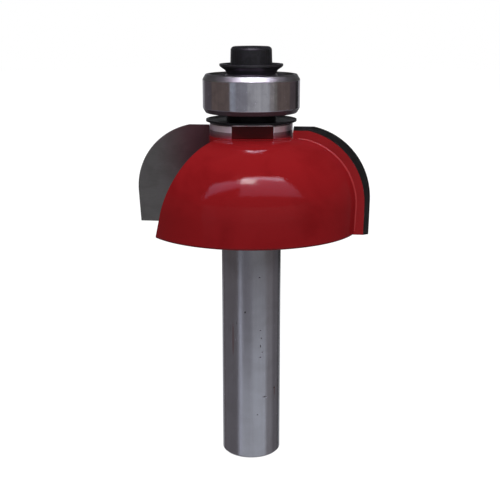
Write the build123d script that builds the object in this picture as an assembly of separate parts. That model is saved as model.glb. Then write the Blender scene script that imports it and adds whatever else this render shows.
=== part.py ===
from build123d import *
from math import asin, cos, degrees, radians, sin, sqrt, tan
import os

# Two-flute cove router bit with a guide bearing, standing on the end of its shank.
# Millimetres, +Z up. The origin is the centre of the shank's lower end, and the axis of
# rotation is Z. The two cutting edges are widest on the X axis, and the bit turns
# counter-clockwise seen from the bearing end.

# ---------------------------------------------------------------- driving dimensions
SHANK_D = 8.0
SHANK_LENGTH = 32.2
SHANK_END_CHAMFER = 0.3
SHANK_END_ROUND = 0.15
SHANK_ROOT_FILLET = 0.4

BODY_R = 14.45                # the painted dome, inside the cutting circle
BODY_ARC_R = 8.75             # its rounded shoulder
BODY_ARC_Z = 35.7             # height of the shoulder's centre
BODY_RIM_ROUND = 0.35
FLUTES = 2

NECK_R = 5.45
NECK_TOP_Z = 46.2
NECK_ROOT_FILLET = 0.125
NECK_EDGE_CHAMFER = 0.15
NECK_FLAT_WIDTH = 5.5         # two flats left between the ground lands of the neck
NECK_FLAT_AZIMUTH = -77.0     # degrees from X, direction that the first one faces

CUTTING_D = 31.75             # 1-1/4 in
COVE_R = 9.525                # 3/8 in
COVE_Z = 36.4                 # height of the cove's centre
TIP_TOP_Z = 45.72             # ground flat, just short of the top of the cove
TIP_BOTTOM_Z = 32.0
TIP_THICKNESS = 1.8
TIP_INNER_X = 5.65            # the inner edge rests on the core
HOOK_ANGLE = 5.0
SHEAR_ANGLE = 9.0
SIDE_RELIEF = 22.0
TOP_RELIEF = 20.0
FACE_REFERENCE_Z = 40.0       # height at which the hook angle is measured
ENVELOPE_MARGIN = 5.0         # the solid that trims the tips starts this far below them

GULLET_CORE_R = 5.6
HEEL_DIRECTION = 65.5         # degrees from X, along the wall behind the gullet
HEEL_TILT = 20.7              # the gullet opens toward the bearing
HEEL_OFFSET = 3.3             # wall to axis, at the height below
HEEL_REFERENCE_Z = 38.0

BEARING_BORE = 4.7625         # 3/16 in
BEARING_OD = 12.7             # 1/2 in
BEARING_WIDTH = 4.978
BEARING_Z = 47.44             # lower face
RING_BEVEL_HEIGHT = 0.65      # the ring's rims are bevelled, and the bevel's edges rounded
RING_BEVEL_DEPTH = 0.38
RING_ROUND = 0.2
INNER_RING_CHAMFER = 0.2
INNER_RING_R = 3.45
OUTER_RING_BORE_R = 5.2
SEAL_SEAT_R = 5.6
SEAL_SEAT_DEPTH = 0.75
SEAL_THICKNESS = 0.5
SEAL_LIP_R = 3.5
SEAL_EDGE_CHAMFER = 0.1
BALL_D = 2.381                # 3/32 in
BALL_COUNT = 7
BALL_GAP = 0.01
GROOVE_R = 0.52 * BALL_D
CAGE_SHEET = 0.25
CAGE_GAP = 0.05
CAGE_HALF_WIDTH = 0.6

POST_R = 2.375
POST_TOP_Z = 52.2
THREAD_D = 3.0                # M3
TAPPED_DEPTH = 8.2
DRILL_POINT_DEPTH = 0.75

DISH_R = 5.95                 # the wide lower washer
DISH_FLOOR_R = 4.9
DISH_RIM_Z = 46.35
DISH_SHEET = 0.25
DISH_HUB_R = 3.25

CUP_FOOT_R = 3.15             # the narrow upper washer, under the screw head
CUP_NECK_R = 3.45
CUP_NECK_Z = 52.92
CUP_RIM_R = 4.15
CUP_RIM_Z = 53.3
CUP_TOP_Z = 53.7
CUP_BORE = 3.2
CUP_LIP = 0.3

SCREW_LENGTH = 8.0
SCREW_GAP = 0.01              # the thread itself is not cut
SCREW_END_CHAMFER = 0.375
HEAD_D = 5.5
HEAD_HEIGHT = 3.0
HEAD_ROUND = 0.5
HEAD_DRAFT = 1.5              # degrees, the forged head narrows upward
SOCKET_WIDTH = 2.5            # across flats
SOCKET_DEPTH = 1.4
SOCKET_SIDES = 6
SOCKET_POINT_DEPTH = 0.4

# ---------------------------------------------------------------- worked out from them
SHANK_R = SHANK_D / 2
CUTTING_R = CUTTING_D / 2
BODY_ARC_X = BODY_R - BODY_ARC_R
BODY_TOP_Z = BODY_ARC_Z + BODY_ARC_R
BEARING_TOP_Z = BEARING_Z + BEARING_WIDTH
BEARING_MID_Z = BEARING_Z + BEARING_WIDTH / 2
PITCH_R = (BEARING_BORE + BEARING_OD) / 4
BALL_R = BALL_D / 2
HEAD_BOTTOM_Z = CUP_NECK_Z
FACE_OFFSET = CUTTING_R * sin(radians(HOOK_ANGLE))

# The rake face: X runs outward along it, Y up along it, and Z back into the tip.
_backward = Vector(sin(radians(HOOK_ANGLE)), -cos(radians(HOOK_ANGLE)), 0)
FACE_PLANE = Plane(
    origin=Vector(0, 0, FACE_REFERENCE_Z) + _backward * FACE_OFFSET,
    x_dir=Vector(cos(radians(HOOK_ANGLE)), sin(radians(HOOK_ANGLE)), 0),
    z_dir=_backward * cos(radians(SHEAR_ANGLE)) + Vector(0, 0, sin(radians(SHEAR_ANGLE))),
)
SEAT_PLANE = FACE_PLANE.offset(TIP_THICKNESS)

# The heel wall: X runs inward along it, and Z into the lobe behind the gullet.
_heel_in = Vector(-sin(radians(HEEL_DIRECTION)), cos(radians(HEEL_DIRECTION)), 0)
HEEL_PLANE = Plane(
    origin=Vector(0, 0, HEEL_REFERENCE_Z) - _heel_in * HEEL_OFFSET,
    x_dir=Vector(-cos(radians(HEEL_DIRECTION)), -sin(radians(HEEL_DIRECTION)), 0),
    z_dir=_heel_in * cos(radians(HEEL_TILT)) - Vector(0, 0, sin(radians(HEEL_TILT))),
)
REACH = 40.0                  # longer than anything that a half space has to cover


# ---------------------------------------------------------------- helpers
def turned(outline):
    """Full turn of a closed XZ outline about the Z axis."""
    return revolve(outline, Axis.Z)


def open_side(plane):
    """A large block in front of a wall, on the plane's -Z side."""
    block = Box(2 * REACH, 2 * REACH, REACH, align=(Align.CENTER, Align.CENTER, Align.MAX))
    return plane * block


def around(shape, count):
    """The same shape repeated evenly about the Z axis."""
    return [Rot(0, 0, i * 360 / count) * shape for i in range(count)]


def rectangle_xz(x_low, x_high, z_low, z_high):
    """A rectangle in the XZ plane, as an outline to turn."""
    return Plane.XZ * (
        Pos((x_low + x_high) / 2, (z_low + z_high) / 2)
        * Rectangle(x_high - x_low, z_high - z_low)
    )


# ---------------------------------------------------------------- the turned body
def body_outline():
    """Half section of the shank, dome, neck and bearing post."""
    chamfer_top = (SHANK_R, SHANK_END_CHAMFER)
    shoulder_start = (BODY_R, BODY_ARC_Z)
    shoulder_end = (BODY_ARC_X, BODY_TOP_Z)
    lower = Polyline(
        (0, 0),
        (SHANK_R - SHANK_END_CHAMFER, 0),
        chamfer_top,
        (SHANK_R, SHANK_LENGTH),
        (BODY_R, SHANK_LENGTH),
        shoulder_start,
    )
    shoulder = CenterArc((BODY_ARC_X, BODY_ARC_Z), BODY_ARC_R, 0, 90)
    upper = Polyline(
        shoulder_end,
        (NECK_R, BODY_TOP_Z),
        (NECK_R, NECK_TOP_Z),
        (POST_R, NECK_TOP_Z),
        (POST_R, POST_TOP_Z),
        (0, POST_TOP_Z),
        (0, 0),
    )
    face = make_face(Curve() + [lower, shoulder, upper])
    rounds = (
        ((SHANK_R, SHANK_END_CHAMFER), SHANK_END_ROUND),
        ((SHANK_R - SHANK_END_CHAMFER, 0), SHANK_END_ROUND),
        ((SHANK_R, SHANK_LENGTH), SHANK_ROOT_FILLET),
        ((BODY_R, SHANK_LENGTH), BODY_RIM_ROUND),
        ((NECK_R, BODY_TOP_Z), NECK_ROOT_FILLET),
    )
    for point, radius in rounds:
        face = fillet(face.vertices().sort_by_distance(point)[0], radius)
    for point in ((NECK_R, NECK_TOP_Z), (POST_R, POST_TOP_Z)):
        face = chamfer(face.vertices().sort_by_distance(point)[0], NECK_EDGE_CHAMFER)
    return Plane.XZ * face


def neck_flats():
    """Blocks that leave a flat on each side of the neck."""
    distance = sqrt(NECK_R**2 - (NECK_FLAT_WIDTH / 2) ** 2)
    height = NECK_TOP_Z - BODY_TOP_Z
    block = Box(NECK_R, NECK_FLAT_WIDTH * 2, height, align=(Align.MIN, Align.CENTER, Align.MIN))
    placed = Rot(0, 0, NECK_FLAT_AZIMUTH) * Pos(distance, 0, BODY_TOP_Z) * block
    return around(placed, FLUTES)


def gullet():
    """Chip space ahead of one tip, with the slot that the tip is brazed into."""
    core = Cylinder(GULLET_CORE_R, 2 * REACH, align=(Align.CENTER, Align.CENTER, Align.MIN))
    chip_space = open_side(FACE_PLANE) & open_side(HEEL_PLANE)
    slot = open_side(SEAT_PLANE) & open_side(HEEL_PLANE)
    outside_core = FACE_PLANE * Pos(TIP_INNER_X, 0, 0) * Box(
        REACH, 2 * REACH, TIP_THICKNESS, align=(Align.MIN, Align.CENTER, Align.MIN)
    )
    return (chip_space - core) + (slot & outside_core)


def cutter_body():
    """Shank, dome with its two gullets, neck and tapped post, all one piece."""
    blank = turned(body_outline())
    for cut in around(gullet(), FLUTES):
        blank -= cut
    for flat in neck_flats():
        blank -= flat
    hole = Cylinder(THREAD_D / 2, TAPPED_DEPTH, align=(Align.CENTER, Align.CENTER, Align.MAX))
    drill_point = Cone(
        0, THREAD_D / 2, DRILL_POINT_DEPTH, align=(Align.CENTER, Align.CENTER, Align.MAX)
    )
    blank -= Pos(0, 0, POST_TOP_Z) * hole
    blank -= Pos(0, 0, POST_TOP_Z - TAPPED_DEPTH) * drill_point
    return blank


# ---------------------------------------------------------------- carbide tips
def cutting_envelope():
    """Solid that the cutting edges sweep: a cove-rounded cylinder with a flat top."""
    low_z = TIP_BOTTOM_Z - ENVELOPE_MARGIN
    sides = Polyline((0, TIP_TOP_Z), (0, low_z), (CUTTING_R, low_z), (CUTTING_R, COVE_Z))
    sweep = degrees(asin((TIP_TOP_Z - COVE_Z) / COVE_R))
    cove = CenterArc((CUTTING_R - COVE_R, COVE_Z), COVE_R, 0, sweep)
    profile = make_face(Curve() + [sides, cove, Line(cove @ 1, (0, TIP_TOP_Z))])
    return turned(Plane.XZ * profile)


def carbide_tip():
    """Flat brazed tip: its edge lies on the envelope, and its sides fall away behind."""
    face = cutting_envelope() & (FACE_PLANE * Rectangle(2 * REACH, 2 * REACH))
    inward = tan(radians(SIDE_RELIEF))
    down = tan(radians(TOP_RELIEF))
    back = FACE_PLANE.z_dir - FACE_PLANE.x_dir * inward - FACE_PLANE.y_dir * down
    relieved = extrude(face.faces()[0], TIP_THICKNESS * back.length, dir=back)
    bottom_y = (TIP_BOTTOM_Z - FACE_REFERENCE_Z) / cos(radians(SHEAR_ANGLE))
    blank = FACE_PLANE * Pos(TIP_INNER_X, bottom_y, 0) * Box(
        REACH, REACH, TIP_THICKNESS, align=(Align.MIN, Align.MIN, Align.MIN)
    )
    return relieved & blank


# ---------------------------------------------------------------- washers and screw
def dished_washer():
    """Wide washer under the bearing: a shallow dish with a hub for the inner ring."""
    face = make_face(
        Polyline(
            (POST_R, NECK_TOP_Z),
            (DISH_FLOOR_R, NECK_TOP_Z),
            (DISH_R, DISH_RIM_Z),
            (DISH_R, DISH_RIM_Z + DISH_SHEET),
            (DISH_FLOOR_R, NECK_TOP_Z + DISH_SHEET),
            (DISH_HUB_R, NECK_TOP_Z + DISH_SHEET),
            (DISH_HUB_R, BEARING_Z),
            (POST_R, BEARING_Z),
            (POST_R, NECK_TOP_Z),
        )
    )
    return turned(Plane.XZ * face)


def cup_washer():
    """Narrow flared washer that the screw head sits in."""
    bore = CUP_BORE / 2
    inner_lip = HEAD_D / 2 + CUP_LIP / 2
    face = make_face(
        Polyline(
            (bore, BEARING_TOP_Z),
            (CUP_FOOT_R, BEARING_TOP_Z),
            (CUP_NECK_R, CUP_NECK_Z),
            (CUP_RIM_R - CUP_LIP / 2, CUP_RIM_Z),
            (CUP_RIM_R, CUP_RIM_Z + CUP_LIP / 2),
            (CUP_RIM_R, CUP_TOP_Z),
            (CUP_RIM_R - CUP_LIP, CUP_TOP_Z),
            (inner_lip, HEAD_BOTTOM_Z),
            (bore, HEAD_BOTTOM_Z),
            (bore, BEARING_TOP_Z),
        )
    )
    return turned(Plane.XZ * face)


def clamp_screw():
    """Socket-head cap screw that holds the bearing on its post."""
    head_circle = Pos(0, 0, HEAD_BOTTOM_Z) * Circle(HEAD_D / 2)
    head = extrude(head_circle, HEAD_HEIGHT, taper=HEAD_DRAFT)
    head = fillet(head.edges().group_by(Axis.Z)[-1], HEAD_ROUND)
    top = Pos(0, 0, HEAD_BOTTOM_Z + HEAD_HEIGHT)
    hexagon = RegularPolygon(SOCKET_WIDTH / 2, SOCKET_SIDES, major_radius=False)
    socket = extrude(top * hexagon, -SOCKET_DEPTH)
    socket_point = top * Pos(0, 0, -SOCKET_DEPTH) * Cone(
        0, SOCKET_WIDTH / 2, SOCKET_POINT_DEPTH, align=(Align.CENTER, Align.CENTER, Align.MAX)
    )
    shank_radius = THREAD_D / 2 - SCREW_GAP
    shank = Pos(0, 0, HEAD_BOTTOM_Z) * Cylinder(
        shank_radius, SCREW_LENGTH, align=(Align.CENTER, Align.CENTER, Align.MAX)
    )
    shank = chamfer(shank.edges().group_by(Axis.Z)[0], SCREW_END_CHAMFER)
    return head + shank - socket - socket_point


# ---------------------------------------------------------------- guide bearing
def ball_groove(center_r):
    """Ring of circular section that cuts a ball groove."""
    return Pos(0, 0, BEARING_MID_Z) * Torus(center_r, GROOVE_R)


def inner_ring():
    """Inner ring, clamped between the two washers on the post."""
    face = rectangle_xz(BEARING_BORE / 2, INNER_RING_R, BEARING_Z, BEARING_TOP_Z)
    face = chamfer(face.vertices(), INNER_RING_CHAMFER)
    return turned(face) - ball_groove(PITCH_R - BALL_R - BALL_GAP + GROOVE_R)


def outer_ring():
    """Outer ring, which rolls along the edge of the work."""
    rim = BEARING_OD / 2
    corners = (
        (rim - RING_BEVEL_DEPTH, BEARING_Z),
        (rim, BEARING_Z + RING_BEVEL_HEIGHT),
        (rim, BEARING_TOP_Z - RING_BEVEL_HEIGHT),
        (rim - RING_BEVEL_DEPTH, BEARING_TOP_Z),
    )
    bore = ((OUTER_RING_BORE_R, BEARING_TOP_Z), (OUTER_RING_BORE_R, BEARING_Z))
    face = make_face(Polyline(*corners, *bore, close=True))
    for corner in corners:
        face = fillet(face.vertices().sort_by_distance(corner)[0], RING_ROUND)
    ring = turned(Plane.XZ * face) - ball_groove(PITCH_R + BALL_R + BALL_GAP - GROOVE_R)
    seat = Cylinder(SEAL_SEAT_R, SEAL_SEAT_DEPTH, align=(Align.CENTER, Align.CENTER, Align.MIN))
    ring -= Pos(0, 0, BEARING_Z) * seat
    ring -= Pos(0, 0, BEARING_TOP_Z - SEAL_SEAT_DEPTH) * seat
    return ring


def seal(face_z, inward):
    """Rubber seal pressed into the outer ring, its lip just clear of the inner ring."""
    step_z = face_z + inward * SEAL_SEAT_DEPTH
    outer_z = step_z - inward * SEAL_THICKNESS
    low, high = sorted((step_z, outer_z))
    face = rectangle_xz(SEAL_LIP_R, SEAL_SEAT_R, low, high)
    return turned(chamfer(face.vertices(), SEAL_EDGE_CHAMFER))


def ball_places():
    """Centres of the balls, as locations."""
    spot = Pos(PITCH_R, 0, BEARING_MID_Z)
    return [Rot(0, 0, i * 360 / BALL_COUNT) * spot for i in range(BALL_COUNT)]


def cage_half(side):
    """Half of the pressed cage: a flat ribbon with a cup round each ball."""
    cup_in = BALL_R + CAGE_GAP
    cup_out = cup_in + CAGE_SHEET
    band = Pos(0, 0, BEARING_MID_Z) * (
        Cylinder(PITCH_R + CAGE_HALF_WIDTH, 2 * cup_out)
        - Cylinder(PITCH_R - CAGE_HALF_WIDTH, 2 * cup_out)
    )
    ribbon = Pos(0, 0, BEARING_MID_Z + side * CAGE_SHEET / 2) * Cylinder(
        PITCH_R + CAGE_HALF_WIDTH, CAGE_SHEET
    )
    half = Pos(0, 0, BEARING_MID_Z + side * cup_out / 2) * Box(4 * PITCH_R, 4 * PITCH_R, cup_out)
    for place in ball_places():
        ribbon += place * Sphere(cup_out)
    for place in ball_places():
        ribbon -= place * Sphere(cup_in)
    return ribbon & band & half


# ---------------------------------------------------------------- the whole bit
def nodes():
    """Every separate piece, by the name of its node."""
    pieces = {
        "cutter_body": cutter_body(),
        "dished_washer": dished_washer(),
        "bearing_inner_ring": inner_ring(),
        "bearing_outer_ring": outer_ring(),
        "bearing_seal_lower": seal(BEARING_Z, 1),
        "bearing_seal_upper": seal(BEARING_TOP_Z, -1),
        "bearing_cage_lower": cage_half(-1),
        "bearing_cage_upper": cage_half(1),
        "cup_washer": cup_washer(),
        "clamp_screw": clamp_screw(),
    }
    for number, tip in enumerate(around(carbide_tip(), FLUTES), start=1):
        pieces[f"carbide_tip_{number}"] = tip
    for number, place in enumerate(ball_places(), start=1):
        pieces[f"bearing_ball_{number}"] = place * Sphere(BALL_R)
    return pieces


def main():
    os.makedirs("parts", exist_ok=True)
    for name, piece in nodes().items():
        export_step(piece, f"parts/{name}.step")


if __name__ == "__main__":
    main()
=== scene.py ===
import functools
import math
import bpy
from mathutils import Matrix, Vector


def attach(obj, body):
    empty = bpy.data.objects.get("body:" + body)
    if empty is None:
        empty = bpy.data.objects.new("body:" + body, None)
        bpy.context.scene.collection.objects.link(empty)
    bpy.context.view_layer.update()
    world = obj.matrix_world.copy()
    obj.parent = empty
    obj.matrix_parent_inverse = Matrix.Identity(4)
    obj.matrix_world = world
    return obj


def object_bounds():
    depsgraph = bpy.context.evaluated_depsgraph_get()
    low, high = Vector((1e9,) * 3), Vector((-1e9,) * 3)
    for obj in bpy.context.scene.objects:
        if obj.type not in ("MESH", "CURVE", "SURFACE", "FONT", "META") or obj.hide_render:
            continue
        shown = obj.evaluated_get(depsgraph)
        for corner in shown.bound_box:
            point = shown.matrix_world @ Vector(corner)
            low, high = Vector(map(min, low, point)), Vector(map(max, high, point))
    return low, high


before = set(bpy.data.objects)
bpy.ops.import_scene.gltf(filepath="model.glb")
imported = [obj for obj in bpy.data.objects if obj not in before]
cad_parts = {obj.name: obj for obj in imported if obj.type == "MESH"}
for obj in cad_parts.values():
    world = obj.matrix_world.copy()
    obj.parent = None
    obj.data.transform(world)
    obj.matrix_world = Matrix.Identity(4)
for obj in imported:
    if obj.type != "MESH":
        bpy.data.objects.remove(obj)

import types

import bmesh
import bpy
import numpy as np
from bpy.props import FloatProperty, FloatVectorProperty, PointerProperty

bl_info = {
    "name": "Cove Router Bit",
    "version": (1, 0, 0),
    "blender": (4, 5, 0),
    "location": "View3D > Sidebar > Router Bit",
    "description": "Finishes for the pieces of a bearing-guided cove router bit, and its studio",
    "category": "Object",
}

CAD_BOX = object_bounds()
MM = 0.001
TIP_NODES = ("carbide_tip_1", "carbide_tip_2")
SEAL_NODES = ("bearing_seal_lower", "bearing_seal_upper")
CAGE_NODES = ("bearing_cage_lower", "bearing_cage_upper")
BALL_NODES = sorted(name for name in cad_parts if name.startswith("bearing_ball_"))

# ---------------------------------------------------------------- marks and studio lights
# Pits and scratches on the shank: degrees round the axis from the -Y side, height, half width
# and half height of the mark in millimetres, and how dark it is.
SHANK_MARKS = (
    (26.8, 26.0, 0.11, 0.05, 0.85),
    (-1.2, 21.2, 0.07, 0.11, 1.00),
    (29.0, 18.6, 0.10, 0.05, 0.70),
    (31.1, 17.5, 0.06, 0.10, 0.60),
    (29.1, 16.4, 0.05, 0.15, 0.75),
    (33.3, 15.5, 0.09, 0.05, 0.60),
    (29.1, 14.8, 0.10, 0.06, 0.85),
    (63.1, 9.9, 0.10, 0.10, 1.00),
    (37.9, 9.0, 0.22, 0.04, 0.90),
    (23.3, 6.5, 0.08, 0.08, 0.50),
    (-18.8, 19.6, 0.05, 0.22, 0.45),
    (-33.0, 18.7, 0.04, 0.40, 0.35),
)
# Faint rust on the shank, given the same way.
RUST_STREAKS = ((-27.0, 17.2, 0.14, 1.70, 0.32), (63.6, 9.4, 0.07, 0.45, 0.55))

# The mirrored room's own colour, and its panels from back to front: left and right in degrees
# from the camera's side, low and high above the horizon, widths of the soft edges, and colour.
ROOM = (0.030, 0.028, 0.030)
ROOM_PANELS = (
    (-180.0, -107.0, -90.0, 14.0, 6.0, 3.0, (0.130, 0.115, 0.125)),
    (-128.0, 131.0, -90.0, -12.0, 10.0, 3.0, (0.200, 0.190, 0.205)),
    (-181.0, -143.0, -90.0, -14.0, 4.0, 3.0, (0.420, 0.430, 0.460)),
    (143.0, 181.0, -90.0, -14.0, 4.0, 3.0, (0.420, 0.430, 0.460)),
    (-181.0, -146.0, -11.0, 14.0, 4.0, 3.0, (0.380, 0.380, 0.400)),
    (146.0, 181.0, -11.0, 14.0, 4.0, 3.0, (0.380, 0.380, 0.400)),
    (-107.0, 103.0, -11.5, 14.0, 4.0, 2.0, (0.185, 0.145, 0.130)),
    (103.0, 128.0, -11.5, 14.0, 4.0, 2.0, (0.110, 0.090, 0.095)),
    (58.0, 92.0, -90.0, -14.0, 10.0, 4.0, (0.330, 0.320, 0.340)),
    (-50.0, 61.0, -90.0, -16.7, 4.0, 6.0, (0.640, 0.670, 0.730)),
    (-50.0, -38.0, -90.0, -13.5, 8.0, 3.0, (0.660, 0.680, 0.780)),
    (-36.0, 4.0, -20.0, -11.0, 10.0, 7.0, (0.200, 0.190, 0.215)),
    (-51.0, 55.0, -10.5, 14.0, 1.5, 2.0, (0.550, 0.565, 0.580)),
    (-51.0, -37.0, -10.5, 14.0, 1.5, 2.0, (0.460, 0.500, 0.560)),
    (-37.0, -9.0, -10.5, 14.0, 3.0, 2.0, (0.345, 0.350, 0.385)),
    (44.0, 55.0, -10.5, 14.0, 3.0, 2.0, (0.410, 0.390, 0.375)),
    (55.0, 63.0, -10.5, 14.0, 3.0, 2.0, (0.260, 0.245, 0.225)),
)
# Soft boxes: four corners from low left round to high left, each right and up as shares of
# the distance; the low and high colours; the soft edges as shares of width and height. They
# are level with the dome, and each hangs a little nearer than the one before it.
CARD_LEVEL = 40.0 * MM
CARD_STEP = 0.03
CARDS = (
    ("window_card", ((-0.25, 0.56), (1.50, 0.66), (1.22, 2.20), (-0.25, 1.88)),
     (3.0, 2.1, 3.2), (8.0, 6.8, 9.6), (0.03, 0.10)),
    ("window_edge_card", ((-0.25, 1.60), (1.26, 1.80), (1.21, 2.22), (-0.25, 1.90)),
     (24.0, 23.0, 29.0), (34.0, 33.0, 41.0), (0.05, 0.35)),
    ("side_card", ((-1.32, 0.54), (-0.22, 1.05), (-0.20, 1.66), (-1.28, 1.50)),
     (4.6, 3.1, 5.2), (9.2, 7.4, 10.8), (0.06, 0.14)),
)
# Lamps: degrees round from the camera's side and above the horizon, distance and size in
# metres, the property that holds the power, and whether metal and enamel mirror the lamp.
LAMPS = (
    ("key_lamp", -4.0, 56.0, 0.40, (0.095, 0.058), "key_power", True),
    ("fill_lamp", 20.0, 20.0, 0.60, (1.20, 0.30), "fill_power", False),
    ("top_lamp", 180.0, 68.0, 0.50, (0.40, 0.25), "top_power", False),
    ("back_lamp", 160.0, 28.0, 0.60, (0.90, 0.30), "back_power", False),
)
# The floor's two tones, and the white that is added where it is seen.
FLOOR_TONES = ((0.155, 0.155, 0.155), (0.165, 0.165, 0.165))
FLOOR_GLOW = 0.93


def length(name, description, millimetres):
    """A length property whose default is given in millimetres."""
    return FloatProperty(
        name=name, description=description, default=millimetres * MM,
        unit="LENGTH", subtype="DISTANCE", precision=5,
    )


def angle(name, description, degrees):
    """An angle property whose default is given in degrees."""
    return FloatProperty(
        name=name, description=description, default=math.radians(degrees),
        unit="ROTATION", subtype="ANGLE",
    )


def factor(name, description, value):
    """A share from nought to one."""
    return FloatProperty(
        name=name, description=description, default=value, min=0.0, max=1.0, subtype="FACTOR",
    )


def number(name, description, value):
    """A plain number with no unit."""
    return FloatProperty(name=name, description=description, default=value)


def colour(name, description, value):
    """A linear colour."""
    return FloatVectorProperty(
        name=name, description=description, default=value, min=0.0, size=3, subtype="COLOR",
    )


# ---------------------------------------------------------------- sizes and colours
class RouterBitSizes(bpy.types.PropertyGroup):
    """Where one finish ends and the next begins, and the sizes of the paint beads."""

    shank_radius: length("Shank Radius", "Radius of the shank", 4.0)
    bare_below: length("Bare Below", "Height at which the shank's bare steel ends", 31.85)
    shade_bottom: length("Shade Bottom", "Height at which the shank starts to darken", 24.85)
    shade_top: length("Shade Top", "Height from which it is darkest", 28.65)
    neck_radius: length("Neck Radius", "Radius outside which the neck's lands are bare", 5.40)
    neck_reach: length("Neck Reach", "Radius up to which the neck's finishes go", 5.6)
    neck_foot: length("Neck Foot", "Height of the dome's top, where the neck begins", 44.47)
    # Painted shade: below this height the neck's lands are dulled, partly by paint mist and
    # partly by painted shade.
    mist_and_shade_top: length("Mist Top", "Height to which paint mist dulls the neck's lands", 45.28)
    neck_top: length("Neck Top", "Height above which the body is bare all round", 46.1)
    dome_radius: length("Dome Radius", "Radius of the painted dome", 14.45)
    shoulder_radius: length("Shoulder Radius", "Radius of the dome's rounded shoulder", 8.75)
    shoulder_height: length("Shoulder Height", "Height of the shoulder's centre", 35.7)
    cutting_diameter: length("Cutting Diameter", "Diameter swept by the two edges", 31.75)
    tip_thickness: length("Tip Thickness", "Thickness of the carbide tips", 1.8)
    tip_reference: length("Tip Reference", "Height at which the hook angle is measured", 40.0)
    hook: angle("Hook", "Forward lean of the tip's face", 5.0)
    shear: angle("Shear", "Tilt of the tip's face from upright", 9.0)
    # Painted reflection: within these radii and heights the tips' face is tinted red for the red
    # dome's reflection, and lightened outside them.
    reflection_outer: length("Braze Outer", "Radius inside which the tips turn brown", 14.0)
    reflection_inner: length("Braze Inner", "Radius at which they are brownest", 7.5)
    reflection_low: length("Braze Low", "Height up to which the brown is weak", 36.0)
    reflection_high: length("Braze High", "Height from which the brown is full", 42.0)
    ring_bottom: length("Ring Bottom", "Height of the guide ring's lower face", 47.44)
    ring_top: length("Ring Top", "Height of the guide ring's upper face", 52.418)
    ring_bevel: length("Ring Bevel", "Height of the guide ring's bevels", 0.65)
    bead_radius: length("Bead Radius", "Radius of the paint bead behind each tip", 0.17)
    bead_bottom: length("Bead Bottom", "Height at which the paint bead starts", 32.6)
    bead_end: angle("Bead End", "Turn of the dome's shoulder at which the bead ends", 83.0)


class RouterBitFinishes(bpy.types.PropertyGroup):
    """The finishes: colours as linear values, roughness and specular level."""

    enamel: colour("Enamel", "Red enamel of the body", (0.232, 0.0085, 0.0110))
    enamel_deep: colour("Enamel Deep", "Red enamel where it lies thick", (0.190, 0.0060, 0.0080))
    # Painted shade: the enamel on the neck's flats is darkened for the shade under the washer and
    # bearing.
    enamel_neck_painted_shade: colour("Enamel Neck", "Dark enamel on the neck's flats", (0.044, 0.0006, 0.0016))
    # Painted highlight: the beads' enamel is lighter than the body's.
    enamel_bead: colour("Enamel Bead", "Lighter enamel on the paint beads", (0.36, 0.034, 0.038))
    enamel_roughness: factor("Enamel Roughness", "Roughness of the enamel", 0.11)
    enamel_shine: factor("Enamel Shine", "Specular level of the enamel", 0.09)
    bead_shine: factor("Bead Shine", "Specular level of the paint beads", 0.12)
    shank_steel: colour("Shank Steel", "Ground steel of the shank", (0.40, 0.40, 0.43))
    shank_roughness: factor("Shank Roughness", "Roughness of the shank", 0.16)
    shank_shade: factor("Shank Shade", "How much the shank darkens under the dome", 0.18)
    land_steel: colour("Land Steel", "Ground steel of the neck", (0.84, 0.78, 0.82))
    land_roughness: factor("Land Roughness", "Roughness of the neck's lands", 0.42)
    # Partly paint mist, partly painted shade and a painted reflection of the red dome on the
    # neck's lower lands.
    mist_and_painted_shade: colour("Mist", "Neck steel dulled by paint mist", (0.32, 0.24, 0.26))
    mist_and_painted_reflection: colour("Mist Deep", "Neck steel where the mist is thickest", (0.36, 0.09, 0.11))
    carbide: colour("Carbide", "Ground face of the tips", (0.105, 0.105, 0.102))
    # Painted reflection of the red dome on the tips' face near the neck.
    red_painted_reflection: colour("Braze Tint", "Tint of the tips' face near the neck", (1.0, 0.50, 0.58))
    # Painted shade: the relieved sides are a darker copy of the carbide.
    carbide_painted_shade: colour("Carbide Dark", "Relieved sides of the tips", (0.045, 0.045, 0.043))
    carbide_roughness: factor("Carbide Roughness", "Least roughness of the carbide", 0.34)
    ring_steel: colour("Ring Steel", "Ground steel of the bearing", (0.43, 0.42, 0.45))
    ring_roughness: factor("Ring Roughness", "Roughness of the guide ring's rim", 0.10)
    # Painted shade: darker and tinted against the ring's steel, to dim the bevel's highlight.
    bevel_steel_painted_shade: colour("Bevel Steel", "Steel of the ring's upper bevel", (0.27, 0.285, 0.262))
    bevel_roughness: factor("Bevel Roughness", "Roughness of the ring's bevels", 0.42)
    inner_roughness: factor("Inner Roughness", "Roughness of the inner ring", 0.28)
    cage_roughness: factor("Cage Roughness", "Roughness of the cage", 0.38)
    ball_roughness: factor("Ball Roughness", "Roughness of the balls", 0.08)
    # Painted shade: a dark, less metallic film on the ring's lower bevel.
    lower_bevel_painted_shade: colour("Resin", "Dark film on the ring's lower bevel", (0.050, 0.036, 0.045))
    black_oxide: colour("Black Oxide", "Black oxide of the cup and screw", (0.009, 0.009, 0.0105))
    black_lower: colour("Black Lower", "Black oxide of the lower washer", (0.005, 0.005, 0.006))
    black_roughness: factor("Black Roughness", "Least roughness of the black oxide", 0.36)
    lower_shine: factor("Lower Shine", "Specular level of the lower washer", 0.10)
    cup_shine: factor("Cup Shine", "Specular level of the cup washer", 0.50)
    screw_shine: factor("Screw Shine", "Specular level of the screw", 0.20)
    rubber: colour("Rubber", "Black rubber of the seals", (0.010, 0.010, 0.011))
    dust: colour("Dust", "Dust on the rubber", (0.022, 0.021, 0.020))
    # This colour also paints the shade under the dome on the shank.
    dirt_and_shade: colour("Dirt", "Dirt in the pits of the shank", (0.012, 0.010, 0.011))
    rust: colour("Rust", "Faint rust on the shank", (0.26, 0.075, 0.060))


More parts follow.
